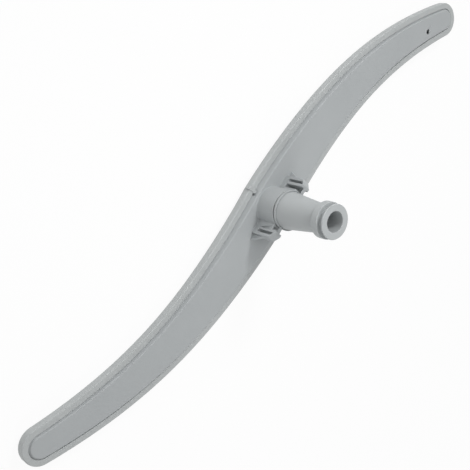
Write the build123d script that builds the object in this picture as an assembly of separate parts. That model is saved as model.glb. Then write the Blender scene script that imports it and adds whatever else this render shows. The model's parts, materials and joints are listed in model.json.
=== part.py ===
from build123d import *
import math
import os

# Dishwasher spray arm: a hollow S-shaped arm of two shells that spins on a conical feed spigot.
# Millimetres. Origin on the hub axis, on the plane that the flat back of the arm rests on.
# +Z runs up the spigot, +X runs from the hub towards the arm end that has the drive jet.

# Plan of the arm: each half follows one arc from the hub to the end, eased off near the hub
arm_reach = 222.1
arm_bow = 18.25
bow_ease = 1.4
hub_width = 45.2
end_width = 25.9
side_bulge_width = 0.35
corner_blend = 6.0
side_places = (0.0, 0.2, 0.4, 0.6, 0.8, 1.0)

# Back shell: tub with a sloping belly, an upright side wall and a broad rim
belly_depth = 5.0
belly_inset = 5.0
wall_height = 5.6
rim_width = 4.4
floor_thickness = 2.0
floor_corner_inset = 6.2
ledge_depth = 3.2
ledge_width = 1.6
rim_bevel = 0.6
belly_bevel = 1.5

# Front shell: lid that drops into the rim and leaves a shallow groove round its drafted, raised face
groove_width = 0.6
lid_skin = 2.0
lid_foot_thickness = 2.8
lid_draft = 1.45
lid_clearance = 0.15
lid_rise_at_hub = 3.4
lid_rise_at_end = 1.0
lid_bevel = 0.8

# Locating lugs at mid-length, one on each long side, and the notches they sit in
lug_width = 2.6
lug_shift = 1.3
lug_stand_out = 0.8
lug_rise = 0.6
notch_depth = 1.0
notch_slack = 1.8

# Collar on the lid and the running fit of the spigot in it
collar_radius = 14.0
collar_height = 16.2
collar_wall = 2.34
running_clearance = 0.06
running_gap = 1.0

# Spigot: foot flange, cone, broad land, seal groove, end lip, bore
flange_overhang = 0.1
flange_thickness = 1.8
flange_step = 0.9
cone_length = 30.0
cone_end_radius = 9.8
land_flare = 3.0
land_radius = 12.6
land_length = 5.0
seal_groove_width = 3.8
seal_groove_depth = 3.0
lip_radius = 12.0
lip_thickness = 0.9
lip_chamfer = 0.4
bore_radius = 7.1
bore_straight = 14.0
journal_wall = 2.0
journal_stop_gap = 0.5

# Snap latches: a pad on the collar and a cored post whose hook reaches over the foot flange
latch_angle = 14.0
latch_width = 7.0
pedestal_height = 4.0
pad_thickness = 1.3
inner_slot = 2.7
slot_web = 1.4
post_wall = 2.0
post_core = 2.2
post_cap = 0.9
head_drop = 3.6
hook_width = 2.4
hook_overlap = 0.5
hook_clearance = 0.35
hook_thickness = 0.9
hook_lip = 0.5
gusset_thickness = 2.4
gusset_length = 4.9
gusset_height = 9.5

# Drive jet on the lid near one end
jet_place = 0.9
jet_offset = -2.6
jet_radius = 1.5
jet_tilt = 20.0
jet_turn = 15.0
scoop_radius = 2.2
scoop_length = 10.0
scoop_tilt = 83.0

# Spray nozzles in the flat back: place along the half, offset across it, turn of the slot
nozzle_rows = [(0.24, 6.0, 60.0), (0.46, -6.5, 25.0), (0.68, 4.0, -30.0), (0.88, -1.0, -65.0)]
nozzle_length = 8.0
nozzle_width = 2.2
nozzle_margin = 2.6
nozzle_recess = 0.7

# Levels and radii that follow from the sizes above
wall_level = belly_depth
rim_level = wall_level + wall_height
ledge_level = rim_level - ledge_depth
foot_level = ledge_level + lid_foot_thickness
face_level = rim_level + lid_rise_at_hub
end_face_level = rim_level + lid_rise_at_end
collar_level = face_level + collar_height
flange_level = collar_level + running_gap
cone_level = flange_level + flange_thickness
neck_level = cone_level + cone_length
land_level = neck_level + land_flare
groove_level = land_level + land_length
lip_level = groove_level + seal_groove_width
tube_level = lip_level + lip_thickness
hook_level = cone_level + hook_clearance
head_level = hook_level + hook_thickness
pedestal_level = face_level + pedestal_height

lid_inset = rim_width + groove_width
collar_bore_radius = collar_radius - collar_wall
journal_radius = collar_bore_radius - running_clearance
flange_radius = collar_radius + flange_overhang
cone_foot_radius = flange_radius - flange_step
post_radius = collar_radius + pad_thickness + inner_slot
core_radius = post_radius + post_wall
post_back_radius = core_radius + post_core + post_wall
hook_radius = flange_radius - hook_overlap

arc_radius = (arm_reach**2 / 4 + arm_bow**2) / (2 * arm_bow)
arc_half_angle = math.asin(arm_reach / 2 / arc_radius)
hub_turn = math.degrees(arc_half_angle)
far = 2 * (arm_reach + hub_width)


def arc_angle(place):
    """Angle of the centre line's radius at a place from 0 at the hub to 1 at the end."""
    return math.pi / 2 + arc_half_angle * (1 - 2 * place)


def bow_shift(place):
    """Distance of the centre line from its arc: inwards near the hub, a little outwards beyond the middle."""
    return -bow_ease * math.sin(2 * math.pi * place) * (1 - place)


def arm_point(place, offset=0.0, ahead=0.0):
    """Point beside the centre line: offset to its outer side, ahead along its tangent."""
    angle = arc_angle(place)
    radius = arc_radius + bow_shift(place) + offset
    x = arm_reach / 2 + radius * math.cos(angle) + ahead * math.sin(angle)
    y = arm_bow - arc_radius + radius * math.sin(angle) - ahead * math.cos(angle)
    return (x, y)


def arm_turn(place):
    """Direction of the centre line in degrees at a place along it."""
    return math.degrees(arc_angle(place)) - 90


def half_width(place, inset):
    """Half the arm's width at a place, less an inset; the long sides bulge at mid-length."""
    taper = (hub_width + (end_width - hub_width) * place) / 2
    return taper + 4 * side_bulge_width * place * (1 - place) - inset


def arm_outline(inset):
    """Plan face of the whole arm, set in from its edge; the second half is the first turned over."""
    sides = {sign: [arm_point(p, sign * half_width(p, inset)) for p in side_places] for sign in (1, -1)}
    crown = Spline(*sides[1])
    tip = ThreePointArc(sides[1][-1], arm_point(1, 0, half_width(1, inset)), sides[-1][-1])
    hollow = Spline(*reversed(sides[-1]))
    half = [crown, tip, hollow]
    plan = make_face(half + [Rot(0, 0, 180) * edge for edge in half])
    return fillet(plan.vertices(), corner_blend)


def arm_prism(inset, low, high):
    """Upright prism over the arm's outline."""
    return extrude(Pos(0, 0, low) * arm_outline(inset), amount=high - low)


def arm_draft(low_inset, low, high_inset, high):
    """Prism with sloping sides between two outlines."""
    ends = [Pos(0, 0, low) * arm_outline(low_inset), Pos(0, 0, high) * arm_outline(high_inset)]
    return loft(ends, ruled=True)


def roof(drop):
    """Space below the lid's face, which falls from a ridge over the hub to both ends."""
    ridge = face_level - drop
    eaves = ridge - (face_level - end_face_level) / arm_reach * far
    side_view = Polygon((-far, -far), (far, -far), (far, eaves), (0, ridge), (-far, eaves), align=None)
    return extrude(Plane.XZ * side_view, amount=far, both=True)


def both_ways(shape):
    """The shape and its copy half a turn round the hub."""
    return [shape, Rot(0, 0, 180) * shape]


def turned_block(turn, low_along, high_along, low_across, high_across, low, high):
    """Block turned about the hub axis: a span along the turned direction, across it and in height."""
    size = (high_along - low_along, high_across - low_across, high - low)
    corner = Pos(low_along, low_across, low) * Box(*size, align=(Align.MIN, Align.MIN, Align.MIN))
    return Rot(0, 0, turn) * corner


def radial_plate(points, width):
    """Plate of a side view in the plane of the latches, spread evenly about it."""
    side_view = Polygon(*points, align=None)
    return Rot(0, 0, latch_angle) * extrude(Plane.XZ * side_view, amount=width / 2, both=True)


def make_back_shell():
    """Tub with the sloping belly, the rim, the ledge for the lid and the spray nozzles."""
    wall = arm_prism(0, wall_level, rim_level)
    wall = chamfer(wall.edges().group_by(Axis.Z)[-1], rim_bevel)
    belly = arm_draft(belly_inset, 0, 0, wall_level)
    belly = chamfer(belly.edges().group_by(Axis.Z)[0], belly_bevel)
    shell = wall + belly
    shell -= arm_prism(rim_width, ledge_level, far)
    shell -= arm_draft(floor_corner_inset, floor_thickness, rim_width + ledge_width, ledge_level)
    edge = hub_width / 2
    lug = turned_block(
        hub_turn,
        lug_shift - lug_width / 2,
        lug_shift + lug_width / 2,
        edge - lid_inset - notch_depth + lid_clearance,
        edge + lug_stand_out,
        ledge_level,
        rim_level + lug_rise,
    )
    shell = shell + both_ways(lug)
    return shell - nozzles()


def nozzles():
    """Slots through the floor, each in a shallow recess of the flat back."""
    cuts = []
    for place, offset, turn in nozzle_rows:
        seat = Pos(*arm_point(place, offset), 0) * Rot(0, 0, arm_turn(place) + turn)
        slot = extrude(seat * SlotOverall(nozzle_length, nozzle_width), amount=floor_thickness)
        pad = SlotOverall(nozzle_length + 2 * nozzle_margin, nozzle_width + 2 * nozzle_margin)
        recess = extrude(seat * pad, amount=nozzle_recess)
        cuts += both_ways(slot + recess)
    return cuts


def make_front_shell():
    """Lid with its raised face, foot, collar, snap latches and drive jet."""
    face = arm_draft(lid_inset, foot_level, lid_inset + lid_draft, face_level) & roof(0)
    face = chamfer(roof_edges(face), lid_bevel)
    foot = arm_prism(rim_width + lid_clearance, ledge_level, foot_level)
    inside = lid_inset + lid_skin
    lid = face + foot - (arm_draft(inside, ledge_level, inside + lid_draft, face_level) & roof(lid_skin))
    edge = hub_width / 2 - lid_inset
    notch = turned_block(
        hub_turn,
        lug_shift - lug_width / 2 - notch_slack,
        lug_shift + lug_width / 2 + lid_clearance,
        edge - notch_depth,
        edge + groove_width,
        ledge_level,
        face_level,
    )
    lid = lid - both_ways(notch)
    collar = Pos(0, 0, face_level - lid_skin) * Cylinder(
        collar_radius, collar_height + lid_skin, align=(Align.CENTER, Align.CENTER, Align.MIN)
    )
    lid = lid + collar + both_ways(snap_latch())
    throat = Pos(0, 0, rim_level) * Cylinder(
        collar_bore_radius, collar_level - rim_level, align=(Align.CENTER, Align.CENTER, Align.MIN)
    )
    return lid - throat - drive_jet()


def roof_edges(shape):
    """Outer edges of the two roof slopes, the highest faces; the ridge between them runs along Y."""
    return shape.faces().sort_by(Axis.Z)[-2:].edges().filter_by(Axis.Y, reverse=True)


def snap_latch():
    """Pedestal, collar pad, cored post with a sloping head, web, hook and gusset, on the drive-jet side."""
    inside = collar_radius - collar_wall / 2
    under = face_level - lid_skin / 2
    pad_radius = collar_radius + pad_thickness
    back_level = head_level - head_drop
    core_end = core_radius + post_core
    core_end_level = head_level - head_drop * post_core / (post_core + post_wall) - post_cap
    hook_root = post_radius + post_wall / 2
    pedestal = [
        (inside, under),
        (post_back_radius, under),
        (post_back_radius, pedestal_level),
        (inside, pedestal_level),
    ]
    pad = [(inside, under), (pad_radius, under), (pad_radius, collar_level), (inside, collar_level)]
    post = [
        (post_radius, under),
        (post_radius, head_level),
        (core_radius, head_level),
        (post_back_radius, back_level),
        (post_back_radius, under),
    ]
    core = [
        (core_radius, pedestal_level),
        (core_radius, head_level - post_cap),
        (core_end, core_end_level),
        (core_end, pedestal_level),
    ]
    hook = [
        (0, hook_level),
        (hook_root, hook_level),
        (hook_root, head_level),
        (post_radius, head_level),
        (hook_radius, hook_level + hook_lip),
        (0, hook_level + hook_lip),
    ]
    gusset = [
        (core_end, under),
        (post_back_radius + gusset_length, under),
        (post_back_radius, face_level + gusset_height),
        (core_end, face_level + gusset_height),
    ]
    web = turned_block(
        latch_angle,
        inside,
        hook_root,
        -latch_width / 2,
        slot_web - latch_width / 2,
        under,
        collar_level,
    )
    lip = Pos(0, 0, hook_level) * Cylinder(hook_radius, 2 * hook_thickness)
    latch = radial_plate(post, latch_width) - radial_plate(core, latch_width)
    latch += radial_plate(hook, hook_width) - lip
    return latch + [
        web,
        radial_plate(pedestal, latch_width),
        radial_plate(pad, latch_width),
        radial_plate(gusset, gusset_thickness),
    ]


def drive_jet():
    """Slanted hole through the lid with a scooped run-up, near one end of the arm."""
    x, y = arm_point(jet_place, jet_offset)
    level = face_level - (face_level - end_face_level) * x / arm_reach
    seat = Pos(x, y, level) * Rot(0, 0, jet_turn)
    hole = seat * Rot(0, jet_tilt, 0) * Cylinder(jet_radius, 6 * lid_skin)
    scoop = Rot(0, scoop_tilt, 0) * Cylinder(
        scoop_radius, scoop_length, align=(Align.CENTER, Align.CENTER, Align.MIN)
    )
    lift = scoop_radius * math.sin(math.radians(scoop_tilt)) - lid_skin / 2
    return [hole, seat * Pos(0, 0, lift) * scoop]


def make_spigot():
    """Turned form of the feed spigot, from the journal in the collar to the grooved end."""
    journal_level = face_level - lid_skin + journal_stop_gap
    journal_bore = journal_radius - journal_wall
    groove_radius = land_radius - seal_groove_depth
    section = Polygon(
        (journal_bore, journal_level),
        (journal_radius, journal_level),
        (journal_radius, flange_level),
        (flange_radius, flange_level),
        (flange_radius, cone_level),
        (cone_foot_radius, cone_level),
        (cone_end_radius, neck_level),
        (land_radius, land_level),
        (land_radius, groove_level),
        (groove_radius, groove_level),
        (groove_radius, lip_level),
        (lip_radius, lip_level),
        (lip_radius, tube_level - lip_chamfer),
        (lip_radius - lip_chamfer, tube_level),
        (bore_radius, tube_level),
        (bore_radius, tube_level - bore_straight),
        (journal_bore, cone_level),
        align=None,
    )
    return revolve(Plane.XZ * section, axis=Axis.Z)


os.makedirs("parts", exist_ok=True)
export_step(make_back_shell(), "parts/back_shell.step")
export_step(make_front_shell(), "parts/front_shell.step")
export_step(make_spigot(), "parts/spigot.step")
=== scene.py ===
"""Dishwasher spray arm: two satin grey shells that spin on a conical feed spigot.

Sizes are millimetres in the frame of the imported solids. The origin lies on the hub axis, on the plane of the
flat back. +Z runs up the spigot, and +X runs towards the arm end that has the drive jet.
"""

import json
import logging
import math
from collections.abc import Sequence
from dataclasses import dataclass, field
from enum import Enum

import bmesh
import bpy
import numpy as np
from mathutils import Matrix, Vector
from numpy.typing import NDArray


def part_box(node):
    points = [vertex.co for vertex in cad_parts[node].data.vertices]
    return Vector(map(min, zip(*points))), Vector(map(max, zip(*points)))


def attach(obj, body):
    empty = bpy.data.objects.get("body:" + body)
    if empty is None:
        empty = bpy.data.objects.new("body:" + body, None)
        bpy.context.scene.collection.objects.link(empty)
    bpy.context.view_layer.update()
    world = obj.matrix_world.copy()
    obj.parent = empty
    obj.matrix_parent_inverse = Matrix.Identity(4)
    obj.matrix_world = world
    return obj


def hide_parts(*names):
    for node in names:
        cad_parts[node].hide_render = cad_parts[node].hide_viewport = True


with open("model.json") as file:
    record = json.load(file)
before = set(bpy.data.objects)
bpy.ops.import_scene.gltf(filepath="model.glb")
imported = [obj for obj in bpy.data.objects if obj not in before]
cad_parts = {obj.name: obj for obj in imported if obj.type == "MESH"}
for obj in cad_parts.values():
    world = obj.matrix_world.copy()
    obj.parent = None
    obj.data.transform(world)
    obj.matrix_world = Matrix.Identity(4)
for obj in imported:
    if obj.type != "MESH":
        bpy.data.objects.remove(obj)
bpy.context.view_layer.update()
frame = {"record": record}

log = logging.getLogger("spray_arm")

Array = NDArray[np.float64]
Corner = tuple[float, float, float]
NozzlePlace = tuple[float, float, float]
Colour = tuple[float, float, float]

MM = 0.001
WELD = 1e-6
SHARP_ANGLE = math.radians(35)
ARC_SPANS = 6
ROUND_SPANS = 160
HALF_TURN = 180.0


class Body(Enum):
    """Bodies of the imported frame."""

    FEED = "feed"
    ARM = "arm"


class Slot(Enum):
    """Material slots of the record."""

    SHELL = "shell_grey"
    SPIGOT = "spigot_grey"


class Join(Enum):
    """How one solid meets another."""

    ADD = "UNION"
    CUT = "DIFFERENCE"


def unit(vectors: Array) -> Array:
    """Vectors divided by their lengths."""
    return vectors / np.linalg.norm(vectors, axis=-1, keepdims=True)


def rounded(corners: Sequence[Corner], spans: int = ARC_SPANS) -> Array:
    """Closed outline whose corners are arcs.

    A corner lies between unit vectors towards its two neighbours, which meet at the angle 2h. An arc of
    radius r touches both sides at r / tan(h) from the corner, and its centre lies r / sin(h) along their
    bisector. The arc's points turn evenly from one touching point to the other.

    Args:
        corners: Rows of two coordinates and the radius of the arc there.
        spans: Spans in each arc.

    Returns:
        Points of the outline in order, spans + 1 for each corner.
    """
    rows = np.asarray(corners, dtype=float)
    place, radius = rows[:, :2], rows[:, 2:]
    back = unit(np.roll(place, 1, axis=0) - place)
    ahead = unit(np.roll(place, -1, axis=0) - place)
    half = np.arccos(np.sum(back * ahead, axis=1, keepdims=True)) / 2
    centre = place + unit(back + ahead) * radius / np.sin(half)
    start = place + back * radius / np.tan(half) - centre
    end = place + ahead * radius / np.tan(half) - centre
    sweep = np.pi - 2 * half
    turn = np.linspace(0, 1, spans + 1)
    fade = (np.sin((1 - turn) * sweep) / np.sin(sweep))[..., None]
    rise = (np.sin(turn * sweep) / np.sin(sweep))[..., None]
    return (centre[:, None] + fade * start[:, None] + rise * end[:, None]).reshape(-1, 2)


def drawn_in(outline: Array, inset: float) -> Array:
    """Closed outline moved inwards by an inset.

    Each point moves along the sum of the normals of its two sides, divided by one plus their dot product, so
    that both sides move in by the same inset.

    Args:
        outline: Points of the outline, with no point repeated.
        inset: Distance to move in.

    Returns:
        Points of the smaller outline.
    """
    side = unit(np.roll(outline, -1, axis=0) - outline)
    normal = np.stack([-side[:, 1], side[:, 0]], axis=1)
    before = np.roll(normal, 1, axis=0)
    mitre = (normal + before) / (1 + np.sum(normal * before, axis=1, keepdims=True))
    after = np.roll(outline, -1, axis=0)
    area = np.sum(outline[:, 0] * after[:, 1] - outline[:, 1] * after[:, 0])
    return outline + np.sign(area) * inset * mitre


@dataclass
class Skin:
    """Point grids and flat caps that close into one mesh."""

    points: list[Array] = field(default_factory=list)
    faces: list[list[int]] = field(default_factory=list)
    count: int = 0

    def grid(self, points: Array, wrap_rows: bool = False, wrap_columns: bool = False) -> NDArray[np.int64]:
        """Add a grid of points and the quads between them.

        Args:
            points: Rows by columns by three coordinates.
            wrap_rows: Whether the last row joins the first.
            wrap_columns: Whether the last column joins the first.

        Returns:
            Index of each point in the mesh, rows by columns.
        """
        rows, columns = points.shape[:2]
        index = np.arange(rows * columns).reshape(rows, columns) + self.count
        net = np.vstack([index, index[:1]]) if wrap_rows else index
        net = np.hstack([net, net[:, :1]]) if wrap_columns else net
        quads = np.stack([net[:-1, :-1], net[:-1, 1:], net[1:, 1:], net[1:, :-1]], axis=-1)
        self.points.append(points.reshape(-1, 3))
        self.faces.extend(quads.reshape(-1, 4).tolist())
        self.count += rows * columns
        return index

    def cap(self, ring: NDArray[np.int64]) -> None:
        """Add one flat face over a ring of points."""
        self.faces.append(ring.tolist())

    def solid(self, name: str) -> bpy.types.Object:
        """Weld the seams and poles and turn all faces outwards.

        Args:
            name: Name of the object.

        Returns:
            Object at the origin with the closed mesh.
        """
        mesh = bpy.data.meshes.new(name)
        mesh.from_pydata((np.concatenate(self.points) * MM).tolist(), [], self.faces)
        edit = bmesh.new()
        edit.from_mesh(mesh)
        bmesh.ops.remove_doubles(edit, verts=edit.verts[:], dist=WELD)
        bmesh.ops.recalc_face_normals(edit, faces=edit.faces[:])
        edit.to_mesh(mesh)
        edit.free()
        piece = bpy.data.objects.new(name, mesh)
        bpy.context.scene.collection.objects.link(piece)
        return piece


def turned(name: str, profile: Array, closed: bool) -> bpy.types.Object:
    """Solid of revolution about the hub axis.

    A profile point of radius r and height z becomes (r cos a, r sin a, z), with the angle a once round.

    Args:
        name: Name of the object.
        profile: Points of radius and height.
        closed: Whether the profile's last point joins its first, as on a tube.

    Returns:
        The solid.
    """
    angle = np.linspace(0, 2 * np.pi, ROUND_SPANS, endpoint=False)
    radius, height = profile[:, :1], profile[:, 1:]
    level = np.broadcast_to(height, (len(profile), ROUND_SPANS))
    skin = Skin()
    points = np.stack([radius * np.cos(angle), radius * np.sin(angle), level], axis=-1)
    skin.grid(points, wrap_rows=closed, wrap_columns=True)
    return skin.solid(name)


def plate(name: str, side_view: Array, low: float, high: float, edge: float, turn: float) -> bpy.types.Object:
    """Plate with a side view of radius and height, turned about the hub axis.

    The side view is carried straight across from low to high. Over the last stretch at each end it is drawn
    in by edge times one minus the cosine of an angle that grows to a right angle, while it moves by edge
    times the sine, which rounds the plate's rims.

    Args:
        name: Name of the object.
        side_view: Closed outline of radius and height.
        low: Start of the span across.
        high: End of the span across.
        edge: Radius of the rounded rims.
        turn: Turn about the hub axis in degrees.

    Returns:
        The solid.
    """
    bend = np.linspace(0, np.pi / 2, ARC_SPANS + 1)
    inset = edge * (1 - np.cos(bend))
    reach = edge * np.sin(bend)
    insets = np.concatenate([inset[::-1], inset])
    across = np.concatenate([low + edge - reach[::-1], high - edge + reach])
    rings = np.stack([drawn_in(side_view, step) for step in insets])
    radial = np.array([math.cos(math.radians(turn)), math.sin(math.radians(turn))])
    sideways = np.array([-radial[1], radial[0]])
    plan = rings[..., :1] * radial + across[:, None, None] * sideways
    skin = Skin()
    index = skin.grid(np.concatenate([plan, rings[..., 1:]], axis=-1), wrap_columns=True)
    skin.cap(index[0])
    skin.cap(index[-1])
    return skin.solid(name)


def prism(name: str, outlines: Sequence[Array], levels: Sequence[float]) -> bpy.types.Object:
    """Upright solid whose plan outline changes evenly from each level to the next.

    Args:
        name: Name of the object.
        outlines: Plan outlines with as many points each.
        levels: Height of each outline.

    Returns:
        The solid.
    """
    plan = np.stack(outlines)
    height = np.broadcast_to(np.asarray(levels, dtype=float)[:, None, None], plan.shape[:2] + (1,))
    skin = Skin()
    index = skin.grid(np.concatenate([plan, height], axis=-1), wrap_columns=True)
    skin.cap(index[0])
    skin.cap(index[-1])
    return skin.solid(name)


def rod(name: str, radius: float, low: float, high: float, place: Matrix) -> bpy.types.Object:
    """Round rod with a domed end at low, laid along the local Z axis of a placement.

    The dome's points lie at radius times the sine and minus the cosine of an angle from the pole.

    Args:
        name: Name of the object.
        radius: Radius of the rod and its dome.
        low: Centre of the dome along the axis.
        high: Flat end along the axis.
        place: Placement in millimetres.

    Returns:
        The solid.
    """
    bend = np.linspace(0, np.pi / 2, 2 * ARC_SPANS + 1)
    dome = np.stack([radius * np.sin(bend), low - radius * np.cos(bend)], axis=1)
    piece = turned(name, np.concatenate([dome, [[radius, high], [0, high]]]), closed=False)
    piece.data.transform(Matrix.Scale(MM, 4) @ place @ Matrix.Scale(1 / MM, 4))
    return piece


def merge(body: bpy.types.Object, tools: Sequence[bpy.types.Object], how: Join) -> None:
    """Add solids to a body or cut them out of it, and clear the solids away.

    Args:
        body: Object that keeps the result.
        tools: Solids to add or cut.
        how: Whether they are added or cut.
    """
    for tool in tools:
        step = body.modifiers.new(tool.name, "BOOLEAN")
        step.operation = how.value
        step.solver = "MANIFOLD"
        step.object = tool
    shape = body.evaluated_get(bpy.context.evaluated_depsgraph_get())
    result = bpy.data.meshes.new_from_object(shape)
    body.modifiers.clear()
    body.data = result
    for tool in tools:
        bpy.data.objects.remove(tool)


@dataclass(frozen=True)
class SatinMoulding:
    """Satin moulded plastic: clouded colour, fine grain and a soft, uneven gloss."""

    name: str
    shade: Colour
    tint: Colour
    cloud_size: float = 22.0
    cloud_detail: float = 4.0
    streak_size: float = 4.4
    streak_detail: float = 3.0
    streak_low: float = 0.3
    streak_high: float = 0.7
    grain_size: float = 0.7
    grain_detail: float = 2.0
    grain_depth: float = 0.02
    grain_strength: float = 0.15
    gloss_low: float = 0.45
    gloss_high: float = 0.58
    reflectance: float = 0.4

    def material(self) -> bpy.types.Material:
        """Shader on object coordinates.

        Returns:
            Material whose colour drifts between shade and tint over the clouds, whose roughness drifts
            over the finer streaks, and whose grain is a fine bump.
        """
        material = bpy.data.materials.new(self.name)
        material.use_nodes = True
        nodes, links = material.node_tree.nodes, material.node_tree.links
        shader = nodes["Principled BSDF"]
        shader.inputs["Specular IOR Level"].default_value = self.reflectance
        place = nodes.new("ShaderNodeTexCoord").outputs["Object"]
        cloud = self.noise(material, place, self.cloud_size, self.cloud_detail)
        streak = self.noise(material, place, self.streak_size, self.streak_detail)
        grain = self.noise(material, place, self.grain_size, self.grain_detail)
        colour = nodes.new("ShaderNodeMix")
        colour.data_type = "RGBA"
        colour.inputs["A"].default_value = (*self.shade, 1.0)
        colour.inputs["B"].default_value = (*self.tint, 1.0)
        links.new(cloud, colour.inputs["Factor"])
        links.new(colour.outputs["Result"], shader.inputs["Base Color"])
        gloss = nodes.new("ShaderNodeMapRange")
        gloss.inputs["From Min"].default_value = self.streak_low
        gloss.inputs["From Max"].default_value = self.streak_high
        gloss.inputs["To Min"].default_value = self.gloss_low
        gloss.inputs["To Max"].default_value = self.gloss_high
        links.new(streak, gloss.inputs["Value"])
        links.new(gloss.outputs["Result"], shader.inputs["Roughness"])
        bump = nodes.new("ShaderNodeBump")
        bump.inputs["Strength"].default_value = self.grain_strength
        bump.inputs["Distance"].default_value = self.grain_depth * MM
        links.new(grain, bump.inputs["Height"])
        links.new(bump.outputs["Normal"], shader.inputs["Normal"])
        return material

    @staticmethod
    def noise(
        material: bpy.types.Material, place: bpy.types.NodeSocket, size: float, detail: float
    ) -> bpy.types.NodeSocket:
        """Noise of one feature size.

        Args:
            material: Material that holds the node.
            place: Coordinates to read.
            size: Size of a feature in millimetres.
            detail: Octaves of finer detail.

        Returns:
            Output between 0 and 1.
        """
        node = material.node_tree.nodes.new("ShaderNodeTexNoise")
        node.inputs["Scale"].default_value = 1 / (size * MM)
        node.inputs["Detail"].default_value = detail
        material.node_tree.links.new(place, node.inputs["Vector"])
        return node.outputs["Fac"]


def hand_over(piece: bpy.types.Object, finish: SatinMoulding, body: Body, node: str) -> None:
    """Dress a finished piece and put it on its body in place of a solid.

    Args:
        piece: Finished object.
        finish: Finish of its whole surface.
        body: Body that it moves with.
        node: Solid that it stands for.
    """
    piece.data.materials.clear()
    piece.data.materials.append(finish.material())
    piece.data.shade_smooth()
    piece.data.set_sharp_from_angle(angle=SHARP_ANGLE)
    even = piece.modifiers.new("even_shading", "WEIGHTED_NORMAL")
    even.keep_sharp = True
    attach(piece, body.value)
    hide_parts(node)
    log.info("%s: %d faces on %s, for %s", piece.name, len(piece.data.polygons), body.value, node)


@dataclass(frozen=True)
class ArmPlan:
    """S-shaped plan: each half follows one arc from the hub, narrows and ends in a half circle."""

    reach: float
    bow: float = 18.25
    bow_ease: float = 1.4
    hub_width: float = 45.2
    end_width: float = 25.9
    side_bulge: float = 0.33
    side_spans: int = 90
    tip_spans: int = 22
    cap_rows: int = 9

    @property
    def radius(self) -> float:
        """Radius of the centre line."""
        return (self.reach**2 / 4 + self.bow**2) / (2 * self.bow)

    @property
    def hub_turn(self) -> float:
        """Direction of the centre line at the hub, in radians."""
        return math.asin(self.reach / 2 / self.radius)

    @property
    def square(self) -> float:
        """Direction square to the centre line at the hub, in degrees."""
        return math.degrees(self.hub_turn) + HALF_TURN / 2

    def angle(self, place: Array | float) -> Array | float:
        """Angle of the centre line's radius at a place from 0 at the hub to 1 at the end."""
        return np.pi / 2 + self.hub_turn * (1 - 2 * place)

    def point(self, place: Array | float, offset: Array | float) -> Array:
        """Point beside the centre line.

        The centre line is an arc about a centre below its middle. Near the hub the bend eases off: the
        radius changes by the ease times minus the sine of one full turn per half, times one minus the
        place. An offset lengthens the radius.

        Args:
            place: Place along the half.
            offset: Distance to the outer side of the arc.

        Returns:
            Two coordinates on the last axis.
        """
        ease = -self.bow_ease * np.sin(2 * np.pi * place) * (1 - place)
        radius, angle = np.broadcast_arrays(self.radius + ease + offset, self.angle(place))
        x = self.reach / 2 + radius * np.cos(angle)
        y = self.bow - self.radius + radius * np.sin(angle)
        return np.stack([x, y], axis=-1)

    def half_width(self, place: Array | float) -> Array | float:
        """Half the width at a place: an even taper, and a parabola that rises to the bulge at mid-half."""
        taper = (self.hub_width + (self.end_width - self.hub_width) * place) / 2
        return taper + 4 * self.side_bulge * place * (1 - place)

    def half_edge(self, side: int, inset: Array) -> Array:
        """Edge of the half with the drive jet, from the hub to the middle of its tip.

        Along the side the edge lies half the width, less the inset, from the centre line. Round the tip it
        is a quarter circle of the end's half width, less the inset.

        Args:
            side: 1 for the crown of the arc, -1 for its hollow.
            inset: Column of insets from the outer edge.

        Returns:
            One row of plan points for each inset.
        """
        place = np.linspace(0, 1, self.side_spans + 1)
        along = self.point(place, side * (self.half_width(place) - inset))
        bend = np.linspace(np.pi / 2, 0, self.tip_spans + 1)[1:, None]
        angle = self.angle(1.0)
        across = np.array([math.cos(angle), math.sin(angle)])
        ahead = np.array([math.sin(angle), -math.cos(angle)])
        reach = (self.half_width(1.0) - inset)[..., None]
        tip = self.point(1.0, 0.0) + reach * (np.cos(bend) * ahead + side * np.sin(bend) * across)
        return np.concatenate([along, tip], axis=1)

    def long_edge(self, side: int, inset: Array) -> Array:
        """Edge from one tip to the other; beyond the hub it is the other side turned half round.

        Args:
            side: 1 or -1, as at the half with the drive jet.
            inset: Column of insets from the outer edge.

        Returns:
            One row of plan points for each inset.
        """
        return np.concatenate([-self.half_edge(-side, inset)[:, :0:-1], self.half_edge(side, inset)], axis=1)

    def ring(self, inset: Array) -> Array:
        """Closed edge all round, one row for each inset in the column."""
        return np.concatenate([self.long_edge(1, inset), self.long_edge(-1, inset)[:, -2:0:-1]], axis=1)

    def cover(self, ring: Array) -> Array:
        """Rows of plan points that fill a closed edge, evenly from one long edge to the other.

        Args:
            ring: Points of the closed edge, in the order that the method ring gives them.

        Returns:
            Rows by columns of plan points.
        """
        last = len(ring) // 2
        near = ring[: last + 1]
        far = np.concatenate([ring[:1], ring[:last:-1], ring[last : last + 1]])
        share = np.linspace(0, 1, self.cap_rows)[:, None, None]
        return (1 - share) * near + share * far


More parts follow.
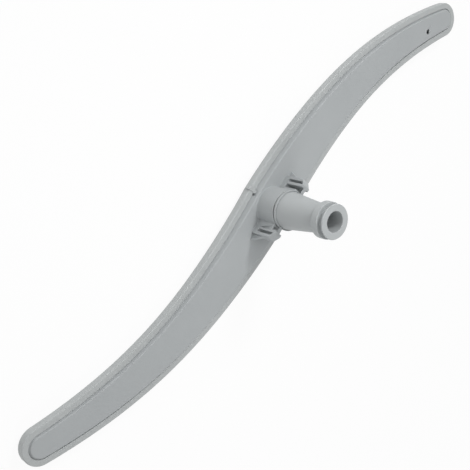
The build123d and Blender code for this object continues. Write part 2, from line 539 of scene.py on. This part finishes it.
def shell_skin(
    name: str, plan: ArmPlan, section: Array, lean: Array, draft: float, slide: Array
) -> bpy.types.Object:
    """Closed shell: a section carried round the arm's outline, with a cover at each of its ends.

    A section point of inset i and level z becomes the outline at i, at the height z - lean * |x|. Where it
    falls it also moves outwards by the draft for each millimetre of the fall, so that sloping sides keep
    their slope. At last it moves along Y by its slide.

    Args:
        name: Name of the object.
        plan: Plan of the arm.
        section: Insets and levels.
        lean: Fall of each section point for each millimetre away from the hub along X.
        draft: Run of the sloping sides for each millimetre of height.
        slide: Shift of each section point along Y.

    Returns:
        The solid.
    """
    skin = Skin()
    ring = plan.ring(section[:, :1])
    outwards = plan.ring(section[:, :1] - 1) - ring
    ring = ring + draft * (lean[:, None] * np.abs(ring[..., 0]))[..., None] * outwards
    ring[..., 1] += slide[:, None]
    height = section[:, 1:] - lean[:, None] * np.abs(ring[..., 0])
    skin.grid(np.dstack([ring, height]), wrap_columns=True)
    for end in (0, -1):
        cover = plan.cover(ring[end])
        skin.grid(np.dstack([cover, section[end, 1] - lean[end] * np.abs(cover[..., 0])]))
    return skin.solid(name)


@dataclass
class BackShell:
    """Tub of the arm: belly, side wall, broad rim, ledge, locating lugs and spray nozzles."""

    plan: ArmPlan
    finish: SatinMoulding
    belly_depth: float = 5.0
    belly_inset: float = 5.0
    belly_rounding: float = 1.6
    wall_height: float = 5.6
    wall_rounding: float = 1.2
    rim_width: float = 4.4
    rim_rounding: float = 0.8
    rim_inner_rounding: float = 0.3
    floor_thickness: float = 2.0
    floor_corner_inset: float = 6.2
    ledge_depth: float = 3.2
    ledge_width: float = 1.6
    cover_margin: float = 3.0
    lug_width: float = 2.6
    lug_shift: float = 1.3
    lug_stand_out: float = 1.2
    lug_rise: float = 0.6
    lug_rounding: float = 0.35
    lug_foot: float = 3.5
    nozzle_rows: tuple[NozzlePlace, ...] = (
        (0.24, 6.0, 60.0),
        (0.46, -6.5, 25.0),
        (0.68, 4.0, -30.0),
        (0.88, -1.0, -65.0),
    )
    nozzle_length: float = 8.0
    nozzle_width: float = 2.2
    nozzle_margin: float = 2.6
    nozzle_recess: float = 0.7
    nozzle_flare: float = 0.5

    @property
    def rim_level(self) -> float:
        """Height of the rim."""
        return self.belly_depth + self.wall_height

    @property
    def ledge_level(self) -> float:
        """Height of the ledge that carries the lid."""
        return self.rim_level - self.ledge_depth

    def section(self) -> Array:
        """Section of the tub's wall.

        Returns:
            Insets and levels from the inner floor over the rim to the flat back.
        """
        fine = self.rim_inner_rounding
        floor_edge = self.floor_corner_inset
        corners = [
            (floor_edge + self.cover_margin, self.floor_thickness, 0.0),
            (floor_edge, self.floor_thickness, fine),
            (self.rim_width + self.ledge_width, self.ledge_level, fine),
            (self.rim_width, self.ledge_level, fine),
            (self.rim_width, self.rim_level, fine),
            (0.0, self.rim_level, self.rim_rounding),
            (0.0, self.belly_depth, self.wall_rounding),
            (self.belly_inset, 0.0, self.belly_rounding),
            (self.belly_inset + self.cover_margin, 0.0, 0.0),
        ]
        return rounded(corners)

    def lug(self, name: str, turn: float) -> bpy.types.Object:
        """Locating lug across the rim.

        Args:
            name: Name of the object.
            turn: Direction from the hub to the lug in degrees.

        Returns:
            The solid.
        """
        outer = self.plan.hub_width / 2 + self.lug_stand_out
        inner = self.plan.hub_width / 2 - self.rim_width - self.ledge_width
        top = self.rim_level + self.lug_rise
        side_view = rounded([
            (inner, self.ledge_level - self.lug_rounding, self.lug_rounding),
            (outer, self.rim_level - self.lug_foot, self.lug_rounding),
            (outer, top, self.lug_rounding),
            (inner, top, self.lug_rounding),
        ])
        middle = -self.lug_shift
        half = self.lug_width / 2
        return plate(name, side_view, middle - half, middle + half, self.lug_rounding, turn)

    def stadium(self, place: float, offset: float, turn: float, margin: float) -> Array:
        """Plan outline of a nozzle slot with round ends.

        Args:
            place: Place along the half.
            offset: Distance to the outer side of the arc.
            turn: Turn of the slot from the centre line in degrees.
            margin: Distance by which the outline is larger than the slot.

        Returns:
            Plan points.
        """
        half_length = self.nozzle_length / 2 + margin
        half_width = self.nozzle_width / 2 + margin
        signs = ((-1, -1), (1, -1), (1, 1), (-1, 1))
        end = half_width * (1 - WELD)
        outline = rounded([(x * half_length, y * half_width, end) for x, y in signs], 2 * ARC_SPANS)
        angle = self.plan.angle(place) - math.pi / 2 + math.radians(turn)
        spin = np.array([[math.cos(angle), math.sin(angle)], [-math.sin(angle), math.cos(angle)]])
        return outline @ spin + self.plan.point(place, offset)

    def nozzle_cuts(self) -> list[bpy.types.Object]:
        """Nozzles of both halves. Each row holds a place, an offset and a turn for the method stadium.

        Returns:
            Slots through the floor, and the shallow flared recesses of the flat back round them.
        """
        depth = self.floor_thickness
        cuts = []
        for place, offset, turn in self.nozzle_rows:
            slot = self.stadium(place, offset, turn, 0.0)
            recess = self.stadium(place, offset, turn, self.nozzle_margin)
            mouth = self.stadium(place, offset, turn, self.nozzle_margin + 2 * self.nozzle_flare)
            for way in (1, -1):
                cuts.append(prism("nozzle_slot", [way * slot, way * slot], [-depth, 2 * depth]))
                levels = [-self.nozzle_recess, self.nozzle_recess]
                cuts.append(prism("nozzle_recess", [way * mouth, way * recess], levels))
        return cuts

    def build(self) -> bpy.types.Object:
        """Tub with its lugs and nozzles, dressed.

        Returns:
            The finished piece.
        """
        section = self.section()
        still = np.zeros(len(section))
        tub = shell_skin("arm_tub", self.plan, section, lean=still, draft=0.0, slide=still)
        square = self.plan.square
        merge(tub, [self.lug("lug", square), self.lug("far_lug", square + HALF_TURN)], Join.ADD)
        merge(tub, self.nozzle_cuts(), Join.CUT)
        hand_over(tub, self.finish, Body.ARM, "back_shell")
        return tub


@dataclass
class SnapLatch:
    """Latch beside the collar: pedestal, collar pad, cored post with a sloping head, web, hook and gusset."""

    angle: float = 14.0
    width: float = 7.0
    pedestal_height: float = 4.0
    pad_thickness: float = 1.3
    inner_slot: float = 2.7
    slot_web: float = 1.4
    post_wall: float = 2.0
    post_core: float = 2.2
    post_cap: float = 0.9
    head_drop: float = 3.6
    hook_width: float = 2.4
    hook_lip: float = 0.5
    hook_thickness: float = 0.9
    gusset_thickness: float = 2.4
    gusset_length: float = 4.9
    gusset_height: float = 9.5
    rounding: float = 0.4
    rim: float = 0.35
    fine_rounding: float = 0.2
    fine_rim: float = 0.15

    def solids(
        self, front: "FrontShell", turn: float
    ) -> tuple[list[bpy.types.Object], list[bpy.types.Object]]:
        """Solids of one latch.

        Args:
            front: Lid that carries the latch.
            turn: Direction of the latch in degrees.

        Returns:
            Plates to add, and the core to cut out of them.
        """
        soft, fine, rim = self.rounding, self.fine_rounding, self.rim
        inside = front.collar_radius - front.collar_wall / 2
        under = front.face_level - front.skin / 2
        pad = front.collar_radius + self.pad_thickness
        post = pad + self.inner_slot
        core = post + self.post_wall
        core_end = core + self.post_core
        back = core_end + self.post_wall
        hook_level = front.hook_level
        head = hook_level + self.hook_thickness
        top = front.collar_level
        step = front.face_level + self.pedestal_height
        rib = front.face_level + self.gusset_height
        cap = head - self.post_cap
        cap_end = cap - self.head_drop * self.post_core / (self.post_core + self.post_wall)
        lip = front.hook_reach
        root = post + self.post_wall / 2
        half = self.width / 2
        hook = self.hook_width / 2
        gusset = self.gusset_thickness / 2
        block = [(inside, under, soft), (back, under, soft), (back, step, soft), (inside, step, soft)]
        collar_pad = [(inside, under, soft), (pad, under, soft), (pad, top, soft), (inside, top, soft)]
        mast = [
            (post, under, soft),
            (back, under, soft),
            (back, head - self.head_drop, soft),
            (core, head, soft),
            (post, head, soft),
        ]
        tongue = [
            (lip, hook_level, fine),
            (root, hook_level, fine),
            (root, head, fine),
            (post, head, fine),
            (lip, hook_level + self.hook_lip, fine),
        ]
        brace = [
            (core_end, under, soft),
            (back + self.gusset_length, under, soft),
            (back, rib, soft),
            (core_end, rib, soft),
        ]
        web = [(inside, under, soft), (root, under, soft), (root, top, soft), (inside, top, soft)]
        hollow = [(core, step, soft), (core_end, step, soft), (core_end, cap_end, soft), (core, cap, soft)]
        adds = [
            plate("latch_post", rounded(mast), -half, half, rim, turn),
            plate("latch_pedestal", rounded(block), -half, half, rim, turn),
            plate("latch_pad", rounded(collar_pad), -half, half, rim, turn),
            plate("latch_web", rounded(web), -half, self.slot_web - half, rim, turn),
            plate("latch_hook", rounded(tongue), -hook, hook, self.fine_rim, turn),
            plate("latch_gusset", rounded(brace), -gusset, gusset, rim, turn),
        ]
        return adds, [plate("latch_core", rounded(hollow), -self.width, self.width, rim, turn)]


@dataclass
class FrontShell:
    """Lid of the arm: raised face, foot, collar, snap latches, notches for the lugs and drive jet."""

    plan: ArmPlan
    back: BackShell
    finish: SatinMoulding
    latch: SnapLatch = field(default_factory=SnapLatch)
    groove_width: float = 0.6
    skin: float = 2.0
    foot_thickness: float = 2.8
    draft: float = 1.45
    clearance: float = 0.15
    foot_slide: float = -0.12
    rise_at_hub: float = 3.4
    rise_at_end: float = 1.0
    edge_rounding: float = 1.0
    fine_rounding: float = 0.25
    cover_margin: float = 3.0
    notch_depth: float = 1.0
    notch_slack: float = 1.8
    collar_radius: float = 14.0
    collar_height: float = 16.2
    collar_wall: float = 2.34
    collar_rounding: float = 0.5
    collar_fillet: float = 0.9
    collar_sink: float = 0.2
    running_gap: float = 1.0
    flange_thickness: float = 1.8
    hook_clearance: float = 0.35
    hook_reach: float = 13.65
    jet_place: float = 0.9
    jet_offset: float = -2.6
    jet_radius: float = 1.5
    jet_mouth: float = 0.3
    jet_lip: float = 0.7
    jet_relief: float = 2.9
    jet_tilt: float = 20.0
    jet_turn: float = 15.0
    scoop_radius: float = 2.2
    scoop_length: float = 10.0
    scoop_tilt: float = 83.0

    @property
    def face_level(self) -> float:
        """Height of the lid's face at the hub."""
        return self.back.rim_level + self.rise_at_hub

    @property
    def collar_level(self) -> float:
        """Height of the collar's top."""
        return self.face_level + self.collar_height

    @property
    def flange_level(self) -> float:
        """Height of the underside of the spigot's foot flange."""
        return self.collar_level + self.running_gap

    @property
    def hook_level(self) -> float:
        """Height of the underside of the hooks."""
        return self.flange_level + self.flange_thickness + self.hook_clearance

    @property
    def fall(self) -> float:
        """Fall of the face for each millimetre away from the hub along X."""
        return (self.rise_at_hub - self.rise_at_end) / self.plan.reach

    @property
    def lid_inset(self) -> float:
        """Inset of the raised face from the arm's outer edge."""
        return self.back.rim_width + self.groove_width

    def lid(self) -> bpy.types.Object:
        """Lid alone: face, side and foot outside, and the same less the skin inside.

        The foot lies to one side of its clearance, which leaves the seam open along the other side.

        Returns:
            The solid.
        """
        foot_inset = self.back.rim_width + self.clearance
        foot = self.back.ledge_level + self.foot_thickness
        edge = self.lid_inset + self.draft
        inner = self.lid_inset + self.skin
        ceiling = self.face_level - self.skin
        slope = self.draft / (self.face_level - foot)
        inner_edge = inner + slope * (ceiling - self.back.ledge_level)
        margin, fine = self.cover_margin, self.fine_rounding
        # Inset, level, rounding, fall and slide of each corner.
        rows = [
            (edge + margin, self.face_level, 0.0, self.fall, 0.0),
            (edge, self.face_level, self.edge_rounding, self.fall, 0.0),
            (self.lid_inset, foot, fine, 0.0, 0.0),
            (foot_inset, foot, fine, 0.0, self.foot_slide),
            (foot_inset, self.back.ledge_level, fine, 0.0, self.foot_slide),
            (inner, self.back.ledge_level, fine, 0.0, 0.0),
            (inner_edge, ceiling, fine, self.fall, 0.0),
            (inner_edge + margin, ceiling, 0.0, self.fall, 0.0),
        ]
        lean, slide = np.repeat(np.array(rows)[:, 3:], ARC_SPANS + 1, axis=0).T
        return shell_skin("arm_lid", self.plan, rounded([row[:3] for row in rows]), lean, slope, slide)

    def collar(self) -> bpy.types.Object:
        """Collar round the hub, with a fillet at its foot.

        Returns:
            The solid, which starts at mid-skin.
        """
        foot = self.face_level - self.collar_sink
        outer = self.collar_radius + 2 * self.collar_fillet
        under = self.face_level - self.skin / 2
        profile = rounded([
            (0.0, under, 0.0),
            (outer, under, 0.0),
            (outer, foot, 0.0),
            (self.collar_radius, foot, self.collar_fillet),
            (self.collar_radius, self.collar_level, self.collar_rounding),
            (0.0, self.collar_level, 0.0),
        ])
        return turned("collar", profile, closed=False)

    def throat(self) -> bpy.types.Object:
        """Bore of the collar, right through the lid, with a bevelled mouth.

        Returns:
            The solid to cut.
        """
        bore = self.collar_radius - self.collar_wall
        bevel = self.collar_rounding
        profile = np.array([
            (0.0, self.back.rim_level),
            (bore, self.back.rim_level),
            (bore, self.collar_level - bevel),
            (bore + 2 * bevel, self.collar_level + bevel),
            (0.0, self.collar_level + bevel),
        ])
        return turned("throat", profile, closed=False)

    def notch(self, name: str, turn: float) -> bpy.types.Object:
        """Notch in the lid's edge that a locating lug sits in.

        Args:
            name: Name of the object.
            turn: Direction from the hub to the notch in degrees.

        Returns:
            The solid.
        """
        edge = self.plan.hub_width / 2 - self.lid_inset
        low, high = self.back.ledge_level - self.skin, self.face_level + self.skin
        deep, out = edge - self.notch_depth, edge + 2 * self.groove_width
        fine = self.fine_rounding
        side_view = rounded([(deep, low, fine), (out, low, fine), (out, high, fine), (deep, high, fine)])
        reach = self.back.lug_width / 2
        shift = self.back.lug_shift
        start, end = -shift - reach - self.clearance, -shift + reach + self.notch_slack
        return plate(name, side_view, start, end, fine, turn)

    def jet_cuts(self) -> list[bpy.types.Object]:
        """Drive jet: a slanted hole with a wider mouth, a relief inside the lid and a scooped run-up.

        Returns:
            The solids to cut.
        """
        x, y = self.plan.point(self.jet_place, self.jet_offset)
        level = self.face_level - self.fall * x
        seat = Matrix.Translation((x, y, level)) @ Matrix.Rotation(math.radians(self.jet_turn), 4, "Z")
        hole = seat @ Matrix.Rotation(math.radians(self.jet_tilt), 4, "Y")
        lean = math.radians(self.scoop_tilt)
        lift = Matrix.Translation((0, 0, self.scoop_radius * math.sin(lean) - self.skin / 2))
        run_up = seat @ lift @ Matrix.Rotation(lean, 4, "Y")
        clear = 3 * self.skin
        return [
            rod("jet_hole", self.jet_radius, -clear, clear, hole),
            rod("jet_mouth", self.jet_radius + self.jet_mouth, 0.0, clear, hole),
            rod("jet_relief", self.jet_relief, -2 * self.skin, -self.jet_lip, seat),
            rod("jet_scoop", self.scoop_radius, self.scoop_radius / 2, self.scoop_length, run_up),
        ]

    def build(self) -> bpy.types.Object:
        """Lid with its collar, latches, notches and drive jet, dressed.

        Returns:
            The finished piece.
        """
        lid = self.lid()
        for turn in (self.latch.angle, self.latch.angle + HALF_TURN):
            adds, cores = self.latch.solids(self, turn)
            merge(adds[0], cores, Join.CUT)
            merge(adds[0], adds[1:], Join.ADD)
            merge(lid, adds[:1], Join.ADD)
        merge(lid, [self.collar()], Join.ADD)
        square = self.plan.square
        cuts = [self.throat(), self.notch("notch", square), self.notch("far_notch", square + HALF_TURN)]
        merge(lid, cuts + self.jet_cuts(), Join.CUT)
        hand_over(lid, self.finish, Body.ARM, "front_shell")
        return lid


@dataclass
class FeedSpigot:
    """Spigot: journal, foot flange, relief groove, cone, broad land, seal groove, end lip and bore."""

    front: FrontShell
    finish: SatinMoulding
    flange_radius: float
    end_level: float
    land_radius: float
    bore_radius: float
    running_clearance: float = 0.06
    flange_step: float = 0.9
    foot_groove_width: float = 0.6
    foot_groove_depth: float = 0.6
    foot_groove_rounding: float = 0.1
    cone_length: float = 30.0
    cone_end_radius: float = 9.8
    land_flare: float = 3.0
    land_length: float = 5.0
    seal_groove_width: float = 3.8
    seal_groove_depth: float = 3.0
    lip_radius: float = 12.0
    bore_straight: float = 14.0
    journal_wall: float = 2.0
    journal_stop_gap: float = 0.5
    rounding: float = 0.5
    fine_rounding: float = 0.2

    def profile(self) -> Array:
        """Profile of the spigot's wall.

        Returns:
            Closed outline of radius and height.
        """
        front, soft, fine = self.front, self.rounding, self.fine_rounding
        journal = front.collar_radius - front.collar_wall - self.running_clearance
        hollow = journal - self.journal_wall
        foot = front.face_level - front.skin + self.journal_stop_gap
        flange = front.flange_level
        cone = flange + front.flange_thickness
        neck = cone + self.cone_length
        land = neck + self.land_flare
        groove = land + self.land_length
        groove_end = groove + self.seal_groove_width
        groove_radius = self.land_radius - self.seal_groove_depth
        cone_foot = self.flange_radius - self.flange_step
        return rounded([
            (hollow, foot, fine),
            (journal, foot, fine),
            (journal, flange, fine),
            (self.flange_radius, flange, soft),
            (self.flange_radius, cone, fine),
            (cone_foot + self.foot_groove_width, cone, self.foot_groove_rounding),
            (cone_foot, cone - self.foot_groove_depth, self.foot_groove_rounding),
            (self.cone_end_radius, neck, soft),
            (self.land_radius, land, soft),
            (self.land_radius, groove, soft),
            (groove_radius, groove, fine),
            (groove_radius, groove_end, fine),
            (self.lip_radius, groove_end, fine),
            (self.lip_radius, self.end_level, soft),
            (self.bore_radius, self.end_level, soft),
            (self.bore_radius, self.end_level - self.bore_straight, soft),
            (hollow, cone, soft),
        ])

    def build(self) -> bpy.types.Object:
        """Spigot turned from its profile, dressed.

        Returns:
            The finished piece.
        """
        spigot = turned("feed_spigot", self.profile(), closed=True)
        hand_over(spigot, self.finish, Body.FEED, "spigot")
        return spigot


def aim(heading: float, height: float) -> Vector:
    """Direction of a sight or lamp line.

    Args:
        heading: Heading from +X in degrees.
        height: Height above the horizon in degrees.

    Returns:
        Unit vector.
    """
    flat = math.cos(math.radians(height))
    turn = math.radians(heading)
    return Vector((flat * math.cos(turn), flat * math.sin(turn), math.sin(math.radians(height))))


@dataclass(frozen=True)
class Softbox:
    """Square lamp that faces the hub: angles in degrees, distance and size in millimetres, power in watts."""

    name: str
    heading: float
    height: float
    distance: float
    size: float
    power: float

    def build(self) -> None:
        """Put the lamp in place."""
        lamp = bpy.data.lights.new(self.name, "AREA")
        lamp.size = self.size * MM
        lamp.energy = self.power
        softbox = bpy.data.objects.new(self.name, lamp)
        ray = aim(self.heading, self.height)
        turn = (-ray).to_track_quat("-Z", "Y").to_matrix().to_4x4()
        softbox.matrix_world = Matrix.Translation(ray * self.distance * MM) @ turn
        bpy.context.scene.collection.objects.link(softbox)


@dataclass
class Studio:
    """White floor, pale sky, softboxes and the camera, with angles in degrees."""

    heading: float = -56.645
    drop: float = 49.078
    roll: float = 106.981
    target: tuple[float, float, float] = (-29.772, -3.726, 0.0)
    distance: float = 611.19
    lens: float = 66.6
    sensor_width: float = 36.0
    near_clip: float = 10.0
    floor_half: float = 6000.0
    floor_gap: float = 0.1
    floor_colour: float = 0.9
    floor_glow: float = 0.93
    horizon: float = 0.95
    zenith: float = 0.2
    softboxes: tuple[Softbox, ...] = (
        Softbox("key_softbox", heading=44.0, height=40.0, distance=2000.0, size=350.0, power=14.8),
        Softbox("top_softbox", heading=85.0, height=72.0, distance=340.0, size=160.0, power=0.24),
        Softbox("fill_softbox", heading=220.0, height=52.0, distance=2000.0, size=600.0, power=4.4),
    )

    def camera(self) -> None:
        """Camera at the photograph's angle, rolled about its line of sight."""
        data = bpy.data.cameras.new("camera")
        data.lens = self.lens
        data.sensor_width = self.sensor_width
        data.clip_start = self.near_clip * MM
        camera = bpy.data.objects.new("camera", data)
        sight = aim(self.heading, -self.drop)
        level = sight.to_track_quat("-Z", "Y").to_matrix().to_4x4()
        place = Vector(self.target) - self.distance * sight
        spin = Matrix.Rotation(math.radians(self.roll), 4, "Z")
        camera.matrix_world = Matrix.Translation(place * MM) @ level @ spin
        bpy.context.scene.collection.objects.link(camera)
        bpy.context.scene.camera = camera

    @staticmethod
    def seen(tree: bpy.types.NodeTree) -> bpy.types.NodeSocket:
        """Mask of the rays that see the white backdrop.

        Args:
            tree: Node tree that holds the mask.

        Returns:
            Socket that is 1 for rays from the camera, from gloss and through glass, and 0 for the rest.
        """
        path = tree.nodes.new("ShaderNodeLightPath")
        first = tree.nodes.new("ShaderNodeMath")
        first.operation = "MAXIMUM"
        tree.links.new(path.outputs["Is Camera Ray"], first.inputs[0])
        tree.links.new(path.outputs["Is Glossy Ray"], first.inputs[1])
        both = tree.nodes.new("ShaderNodeMath")
        both.operation = "MAXIMUM"
        tree.links.new(first.outputs["Value"], both.inputs[0])
        tree.links.new(path.outputs["Is Transmission Ray"], both.inputs[1])
        return both.outputs["Value"]

    def floor(self) -> None:
        """White floor.

        It is a matt sheet that keeps a faint shadow, mixed with an even white for the rays that see it.
        """
        material = bpy.data.materials.new("floor_white")
        material.use_nodes = True
        tree = material.node_tree
        tree.nodes.clear()
        matt = tree.nodes.new("ShaderNodeBsdfDiffuse")
        matt.inputs["Color"].default_value = (*[self.floor_colour] * 3, 1.0)
        glow = tree.nodes.new("ShaderNodeEmission")
        blend = tree.nodes.new("ShaderNodeMixShader")
        share = tree.nodes.new("ShaderNodeMath")
        share.operation = "MULTIPLY"
        share.inputs[1].default_value = self.floor_glow
        out = tree.nodes.new("ShaderNodeOutputMaterial")
        tree.links.new(self.seen(tree), share.inputs[0])
        tree.links.new(share.outputs["Value"], blend.inputs["Fac"])
        tree.links.new(matt.outputs["BSDF"], blend.inputs[1])
        tree.links.new(glow.outputs["Emission"], blend.inputs[2])
        tree.links.new(blend.outputs["Shader"], out.inputs["Surface"])
        skin = Skin()
        side = np.array([-self.floor_half, self.floor_half])
        x, y = np.meshgrid(side, side)
        skin.grid(np.dstack([x, y, np.full_like(x, -self.floor_gap)]))
        floor = skin.solid("floor")
        floor.data.materials.append(material)

    def light(self) -> None:
        """Sky and softboxes.

        The sky's strength falls evenly from the horizon to the zenith with the sine of the height. To the
        rays that see the backdrop it is plain white.
        """
        world = bpy.data.worlds.new("sky")
        bpy.context.scene.world = world
        world.use_nodes = True
        tree = world.node_tree
        sky = tree.nodes["Background"]
        sky.inputs["Color"].default_value = (1.0, 1.0, 1.0, 1.0)
        way = tree.nodes.new("ShaderNodeSeparateXYZ")
        tree.links.new(tree.nodes.new("ShaderNodeTexCoord").outputs["Object"], way.inputs["Vector"])
        fade = tree.nodes.new("ShaderNodeMapRange")
        fade.inputs["To Min"].default_value = self.horizon
        fade.inputs["To Max"].default_value = self.zenith
        tree.links.new(way.outputs["Z"], fade.inputs["Value"])
        level = tree.nodes.new("ShaderNodeMapRange")
        level.inputs["To Max"].default_value = 1.0
        tree.links.new(self.seen(tree), level.inputs["Value"])
        tree.links.new(fade.outputs["Result"], level.inputs["To Min"])
        tree.links.new(level.outputs["Result"], sky.inputs["Strength"])
        for softbox in self.softboxes:
            softbox.build()

    def build(self) -> None:
        """Camera, floor and light, with colours shown as they are."""
        self.camera()
        self.floor()
        self.light()
        bpy.context.scene.view_settings.view_transform = "Standard"
        log.info("studio: camera, floor, sky and %d softboxes", len(self.softboxes))


def mount_size(name: str, size: str) -> float:
    """Size of a mount in the record, in millimetres."""
    return next(mount["dims"][size] for mount in frame["record"]["mounts"] if mount["name"] == name)


def main() -> None:
    """Build the pieces in the order in which they seat, then the studio."""
    logging.basicConfig(level=logging.INFO, format="%(name)s: %(message)s")
    lid_grey = SatinMoulding("lid_grey_satin", shade=(0.375, 0.395, 0.402), tint=(0.415, 0.435, 0.442))
    tub_grey = SatinMoulding("tub_grey_satin", shade=(0.42, 0.44, 0.441), tint=(0.46, 0.479, 0.48))
    spigot_grey = SatinMoulding("spigot_grey_satin", shade=(0.398, 0.419, 0.424), tint=(0.44, 0.459, 0.464))
    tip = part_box("back_shell")[1].x / MM
    plan = ArmPlan(reach=tip - ArmPlan.end_width / 2)
    back = BackShell(plan, tub_grey)
    front = FrontShell(plan, back, lid_grey)
    spigot_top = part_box("spigot")[1] / MM
    spigot = FeedSpigot(
        front,
        spigot_grey,
        flange_radius=spigot_top.x,
        end_level=spigot_top.z,
        land_radius=mount_size("feed_land", "r_mm"),
        bore_radius=mount_size("feed_bore", "r_mm"),
    )
    for part in (back, front, spigot):
        part.build()
    Studio().build()


if __name__ == "__main__":
    main()
